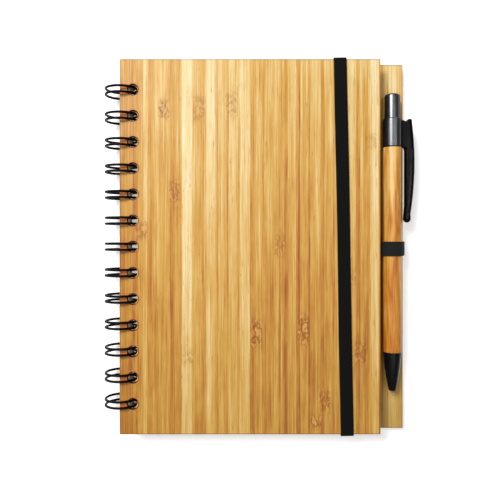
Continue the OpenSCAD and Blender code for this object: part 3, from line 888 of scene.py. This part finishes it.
rivets_lo, rivets_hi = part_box("band_rivets")
RIVET_Y = 76 * MM
for end in (1, -1):
    turned = Matrix.Rotation(BAND_LEAN, 4, "Z") @ Vector((0, end * RIVET_Y, 0))
    piece = rivet_piece(
        "band_rivet_head" if end > 0 else "band_rivet_foot",
        band_x + turned.x, turned.y, rivets_lo, rivets_hi, 2.6 * MM,
    )
    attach(piece, "notebook")
    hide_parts("band_rivets")
knot_lo, knot_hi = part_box("loop_rivet")
piece = rivet_piece(
    "strap_rivet", (knot_lo.x + knot_hi.x) / 2, (knot_lo.y + knot_hi.y) / 2, knot_lo, knot_hi, 2.4 * MM
)
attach(piece, "notebook")
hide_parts("loop_rivet")

# ---------------------------------------------------------------- pen

def arc(cx, cy, r, a0, a1, steps):
    return [
        (cx + r * math.cos(math.radians(a0 + (a1 - a0) * k / steps)),
         cy + r * math.sin(math.radians(a0 + (a1 - a0) * k / steps)))
        for k in range(steps + 1)
    ]


BORE = 3.4 * MM
EDGE = 0.22 * MM
y0, y1 = barrel_lo.y, barrel_hi.y
barrel = lathe(
    "bamboo_barrel",
    [(BORE, y0)]
    + arc(pen_r - EDGE, y0 + EDGE, EDGE, -90, 0, 5)
    + [(pen_r, y0 + (y1 - y0) * k / 10) for k in range(1, 10)]
    + arc(pen_r - EDGE, y1 - EDGE, EDGE, 0, 90, 5)
    + [(BORE, y1)],
    barrel_wood, 128,
)
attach(barrel, "pen")
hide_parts("pen_barrel")

cone_lo, cone_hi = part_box("tip_cone")
CONE_LEN = y0 - cone_lo.y
MOUTH = 1.22 * MM
TIP_EDGE = 0.45 * MM


def cone_radius(s):
    s_mm = s / MM
    return pen_r - (0.2 + 0.05 * s_mm + 0.00475 * s_mm**2) * MM


cone_steps = 40
tip_r = cone_radius(CONE_LEN - TIP_EDGE)
cone = lathe(
    "cone_shell",
    [(3.0 * MM, cone_hi.y), (3.0 * MM, y0 - 0.02 * MM)]
    + arc(cone_radius(0) - 0.12 * MM, y0 - 0.14 * MM, 0.12 * MM, 90, 0, 4)
    + [
        (cone_radius(s), y0 - s)
        for s in [0.3 * MM + (CONE_LEN - TIP_EDGE - 0.3 * MM) * k / cone_steps for k in range(cone_steps + 1)]
    ]
    + arc(tip_r - TIP_EDGE, cone_lo.y + TIP_EDGE, TIP_EDGE, -15, -90, 5)
    + [(MOUTH, cone_lo.y + 0.05 * MM), (MOUTH, cone_lo.y + 8.6 * MM), (2.3 * MM, cone_lo.y + 8.7 * MM)]
    + [(2.3 * MM, cone_hi.y)],
    black_shell, 96,
)
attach(cone, "pen")
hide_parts("tip_cone")

button_lo, button_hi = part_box("push_button")
button_r = (button_hi.x - button_lo.x) / 2
CROWN, SHOULDER, WALL, ROOF = 0.5 * MM, 0.9 * MM, 0.7 * MM, 1.8 * MM
button = lathe(
    "button_cap",
    [(0, button_hi.y - ROOF), (button_r - WALL, button_hi.y - ROOF)]
    + [(button_r - WALL, button_lo.y), (button_r, button_lo.y)]
    + arc(button_r - SHOULDER, button_hi.y - CROWN - SHOULDER, SHOULDER, 0, 72, 8)
    + [
        (r, button_hi.y - CROWN * (r / (button_r - SHOULDER * 0.6)) ** 2)
        for r in [(button_r - SHOULDER * 0.8) * k / 8 for k in range(8, -1, -1)]
    ],
    satin_chrome, 96,
)
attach(button, "button")
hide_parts("push_button")

# return spring: its front end stays in the cone
spring_lo, spring_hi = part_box("pen_spring")
SPRING_WIRE = 0.18 * MM
SPRING_TURNS = 11
coil_r = (spring_hi.x - spring_lo.x) / 2 - SPRING_WIRE
coil_low, coil_high = spring_lo.y + SPRING_WIRE, spring_hi.y - SPRING_WIRE
END_PITCH = SPRING_WIRE * 2.1
coil = []
for k in range(SPRING_TURNS * 32 + 1):
    turns = k / 32
    if turns <= 1:
        y = coil_low + END_PITCH * turns
    elif turns >= SPRING_TURNS - 1:
        y = coil_high - END_PITCH * (SPRING_TURNS - turns)
    else:
        rise = coil_high - coil_low - 2 * END_PITCH
        y = coil_low + END_PITCH + rise * (turns - 1) / (SPRING_TURNS - 2)
    a = 2 * math.pi * turns
    coil.append(Vector((pen_x + coil_r * math.cos(a), y, pen_z + coil_r * math.sin(a))))
spring = tube_along("return_spring", coil, SPRING_WIRE, 10, steel)
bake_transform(spring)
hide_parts("pen_spring")

# clip: a crowned blade and web, lofted along the pen, with a horn and a shoulder at its head
clip_lo, clip_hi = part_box("pen_clip")
ARC_R, ARC_Y = 160 * MM, 41.5 * MM
reach = clip_hi.x - pen_x
top, low = clip_hi.y, clip_lo.y
CLIP_W = clip_hi.z - clip_lo.z
ferrule_lo, ferrule_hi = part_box("pen_ferrule")
NECK = ferrule_lo.y


def back_x(y):
    return reach - ARC_R + math.sqrt(ARC_R**2 - (y - ARC_Y) ** 2)


def between(y, corners):
    """The value at y on a polyline of (y, value)."""
    for (y_a, v_a), (y_b, v_b) in zip(corners, corners[1:]):
        if y <= y_b:
            return v_a + (v_b - v_a) * max(0.0, (y - y_a) / (y_b - y_a))
    return corners[-1][1]


def crowned(name, stations):
    """A loft through (y, inner x, outer x, share of the width), with a cushion-shaped section."""
    sides, power = 36, 2.7
    points = []
    for y, inner, outer, share in stations:
        for k in range(sides):
            a = 2 * math.pi * k / sides
            u, v = math.cos(a), math.sin(a)
            u = math.copysign(abs(u) ** (2 / power), u)
            v = math.copysign(abs(v) ** (2 / power), v)
            points.append((
                pen_x + (inner + outer) / 2 + (outer - inner) / 2 * u, y, pen_z + CLIP_W / 2 * share * v
            ))
    return make_mesh(name, points, stitch(len(stations), sides), clip_black)


# millimetres: the blade's and the web's inner edges and the tip's middle are out from the pen's axis
BLADE_IN, WEB_IN = 5.85, 3.0
TIP_MID, TIP_HALF, TIP_LEN = 7.1, 1.8, 1.9
inner_line = [
    (low + TIP_LEN * MM, (TIP_MID - TIP_HALF) * MM), (low + 8 * MM, BLADE_IN * MM),
    (NECK - 2.2 * MM, BLADE_IN * MM),
]
inner_line += [
    (NECK + (-2.2 + 1.8 * math.sin(a)) * MM, (BLADE_IN - 0.95 * (1 - math.cos(a))) * MM)
    for a in [math.radians(15 * k) for k in range(1, 7)]
]
inner_line += [
    (NECK - 0.3 * MM, WEB_IN * MM), (top - 1.15 * MM, WEB_IN * MM), (top - 1.06 * MM, 6.5 * MM),
    (top - 0.8 * MM, 6.95 * MM), (top - 0.35 * MM, 7.15 * MM), (top - 0.1 * MM, 7.35 * MM), (top, 7.7 * MM),
]
outer_line = [(low + TIP_LEN * MM, (TIP_MID + TIP_HALF) * MM)]
outer_line += [
    (y, back_x(y)) for y in [low + 4.2 * MM + (top - low - 5.8 * MM) * k / 40 for k in range(41)]
]
outer_line += [
    (top - 0.7 * MM + 0.7 * MM * math.sin(a), 8.8 * MM + 0.7 * MM * math.cos(a))
    for a in [math.radians(10 + 16 * k) for k in range(6)]
]
blade = [
    (low + TIP_LEN * MM * (1 - math.cos(a)), (TIP_MID - TIP_HALF * math.sin(a)) * MM,
     (TIP_MID + TIP_HALF * math.sin(a)) * MM, 0.35 + 0.65 * math.sin(a))
    for a in [math.radians(5 + 85 * k / 12) for k in range(12)]
]
heights = [low + TIP_LEN * MM + (NECK - 2.4 * MM - low - TIP_LEN * MM) * k / 44 for k in range(45)]
heights += [y for y, _ in inner_line if y > heights[-1]]
heights += [NECK + (top - 1.3 * MM - NECK) * k / 12 for k in range(13)]
heights += [y for y, _ in outer_line if y > top - 1.0 * MM]
blade += [
    (y, between(y, inner_line), between(y, outer_line), 1 - 0.25 * max(0.0, (y - top) / MM + 0.7) ** 2)
    for y in sorted(set(heights))
]
clip = crowned("clip_blade", blade)
shoulder = crowned("shoulder", [
    (top - d * MM, WEB_IN * MM, (4.4 + 2.8 * math.asin(min(1.0, (d - 0.15) / 0.95)) / (math.pi / 2)) * MM,
     1 - 0.15 * max(0.0, 1.0 - d) ** 2)
    for d in (1.6, 1.3, 1.1, 1.05, 1.0, 0.9, 0.8, 0.7, 0.6, 0.5, 0.4)
])
# the clip moves, so it stands this far off the pen
CLEARANCE = 0.3 * MM
cutter_mesh = bpy.data.meshes.new("cutter")
bm = bmesh.new()
bmesh.ops.create_cone(
    bm, cap_ends=True, segments=96, radius1=pen_r + CLEARANCE, radius2=pen_r + CLEARANCE, depth=0.2,
    matrix=Matrix.Translation((pen_x, 0, pen_z)) @ Matrix.Rotation(math.pi / 2, 4, "X"),
)
bm.to_mesh(cutter_mesh)
bm.free()
cutter = link("cutter", cutter_mesh)
# the tab that hooks through the ferrule's slot and holds the clip
TAB = Vector((1.4, 6.3, 2.4)) * MM
TAB_DROP = 7.7 * MM
tab_mesh = bpy.data.meshes.new("tab")
bm = bmesh.new()
bmesh.ops.create_cube(
    bm, size=1,
    matrix=Matrix.Translation((clip_lo.x + TAB.x / 2, ferrule_hi.y - TAB_DROP + TAB.y / 2, pen_z))
    @ Matrix.Diagonal((*TAB, 1)),
)
bmesh.ops.bevel(bm, geom=bm.edges[:], offset=0.1 * MM, segments=2, affect="EDGES", profile=0.5)
bm.to_mesh(tab_mesh)
bm.free()
tab = link("tab", tab_mesh)
for tool, operation in ((shoulder, "UNION"), (cutter, "DIFFERENCE"), (tab, "UNION")):
    cut = clip.modifiers.new(operation, "BOOLEAN")
    cut.operation, cut.solver, cut.object = operation, "EXACT", tool
bpy.context.view_layer.update()
clip_final = bpy.data.meshes.new_from_object(clip.evaluated_get(bpy.context.evaluated_depsgraph_get()))
clip.modifiers.clear()
clip.data = clip_final
for tool in (cutter, shoulder, tab):
    bpy.data.objects.remove(tool)
bm = bmesh.new()
bm.from_mesh(clip_final)
bmesh.ops.dissolve_degenerate(bm, dist=0.003 * MM, edges=bm.edges[:])
bm.to_mesh(clip_final)
bm.free()
shade(clip.data, 40)
clip.data.materials.clear()
clip.data.materials.append(clip_black)
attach(clip, "clip")
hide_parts("pen_clip")

# ---------------------------------------------------------------- stage, light and camera

floor_mesh = bpy.data.meshes.new("floor")
floor_mesh.from_pydata([(-3, -3, 0), (3, -3, 0), (3, 3, 0), (-3, 3, 0)], [], [(0, 1, 2, 3)])
# the floor gives off an even light of its own, so that it stays as white as the photo's ground
floor_look = Shader(
    "floor_white", Roughness=0.9, Base_Color=(0.85, 0.85, 0.85, 1),
    Emission_Color=(1, 1, 1, 1), Emission_Strength=0.4,
)
floor = link("floor", floor_mesh, floor_look.material)
floor.location.z = -0.0002


def softbox(name, place, target, size, power):
    data = bpy.data.lights.new(name, "AREA")
    data.shape = "RECTANGLE"
    data.size, data.size_y = size
    data.energy = power
    obj = bpy.data.objects.new(name, data)
    bpy.context.scene.collection.objects.link(obj)
    obj.location = place
    obj.rotation_euler = (Vector(target) - Vector(place)).to_track_quat("-Z", "Y").to_euler()


softbox("key", (-0.50, 0.55, 0.95), (0, 0, 0), (0.45, 0.45), 14)
softbox("overhead", (0, 0, 1.3), (0, 0, 0), (1.4, 1.4), 4.6)
softbox("strip", (0.36, 0.1, 1.1), (0.06, 0, 0), (0.05, 1.0), 1.5)
world = bpy.data.worlds.new("studio")
world.use_nodes = True
world.node_tree.nodes["Background"].inputs[0].default_value = (1, 1, 1, 1)
world.node_tree.nodes["Background"].inputs[1].default_value = 0.12
bpy.context.scene.world = world
bpy.context.scene.view_settings.view_transform = "Standard"

CAMERA_HEIGHT = 0.265      # above the front board
SCALE = 0.4847 * MM        # of one pixel, on the front board
IMAGE_SIDE = 500           # pixels
SENSOR = 36                # millimetres
camera_data = bpy.data.cameras.new("camera")
camera_data.sensor_width = SENSOR
camera_data.lens = CAMERA_HEIGHT / SCALE / IMAGE_SIDE * SENSOR
camera_data.shift_y = -0.028
camera_data.clip_start = 0.01
camera = bpy.data.objects.new("camera", camera_data)
camera.location = (front_lo.x + 0.0632, 0.0052, front_hi.z + CAMERA_HEIGHT)
bpy.context.scene.collection.objects.link(camera)
bpy.context.scene.camera = camera
